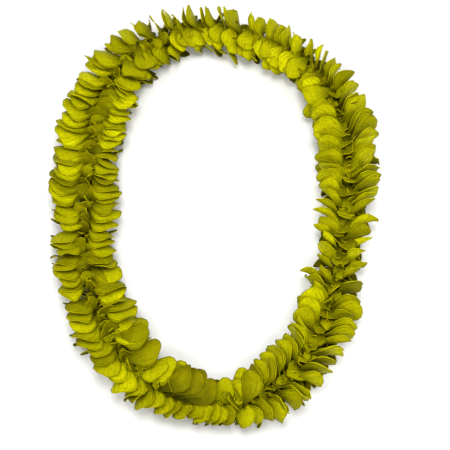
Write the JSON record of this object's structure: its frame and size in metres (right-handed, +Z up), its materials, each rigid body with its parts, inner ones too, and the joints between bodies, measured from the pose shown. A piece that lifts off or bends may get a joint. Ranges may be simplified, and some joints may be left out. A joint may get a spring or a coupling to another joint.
{
  "type": "flower lei",
  "caption": "Fresh lei of chartreuse orchid florets threaded in file on one string, lying flat in a closed loop.",
  "frame": {"origin": "middle of the loop's outline seen from above, on the surface it lies on", "axes": "+Z up from the surface; +Y along the loop's longer way, from the narrow end with the knot towards the far round end; +X across the loop"},
  "size_m": [0.3142, 0.4238, 0.042],
  "materials": {
    "petal": "fresh petal, chartreuse, soft satin",
    "string": "twisted cotton, matt"
  },
  "bodies": {
    "root": {"florets_01": "petal", "florets_02": "petal", "florets_03": "petal", "florets_04": "petal", "florets_05": "petal", "florets_06": "petal", "florets_07": "petal", "florets_08": "petal", "florets_09": "petal", "florets_10": "petal", "florets_11": "petal", "florets_12": "petal", "florets_13": "petal", "florets_14": "petal", "florets_15": "petal", "florets_16": "petal", "florets_17": "petal", "florets_18": "petal", "florets_19": "petal", "florets_20": "petal", "florets_21": "petal", "florets_22": "petal", "florets_23": "petal", "florets_24": "petal", "florets_25": "petal", "florets_26": "petal", "florets_27": "petal", "florets_28": "petal", "florets_29": "petal", "florets_30": "petal", "florets_31": "petal", "florets_32": "petal", "florets_33": "petal", "florets_34": "petal", "florets_35": "petal", "florets_36": "petal", "florets_37": "petal", "florets_38": "petal", "florets_39": "petal", "florets_40": "petal", "florets_41": "petal", "florets_42": "petal", "florets_43": "petal", "florets_44": "petal", "florets_45": "petal", "florets_46": "petal", "florets_47": "petal", "string": "string"}
  },
  "joints": []
}
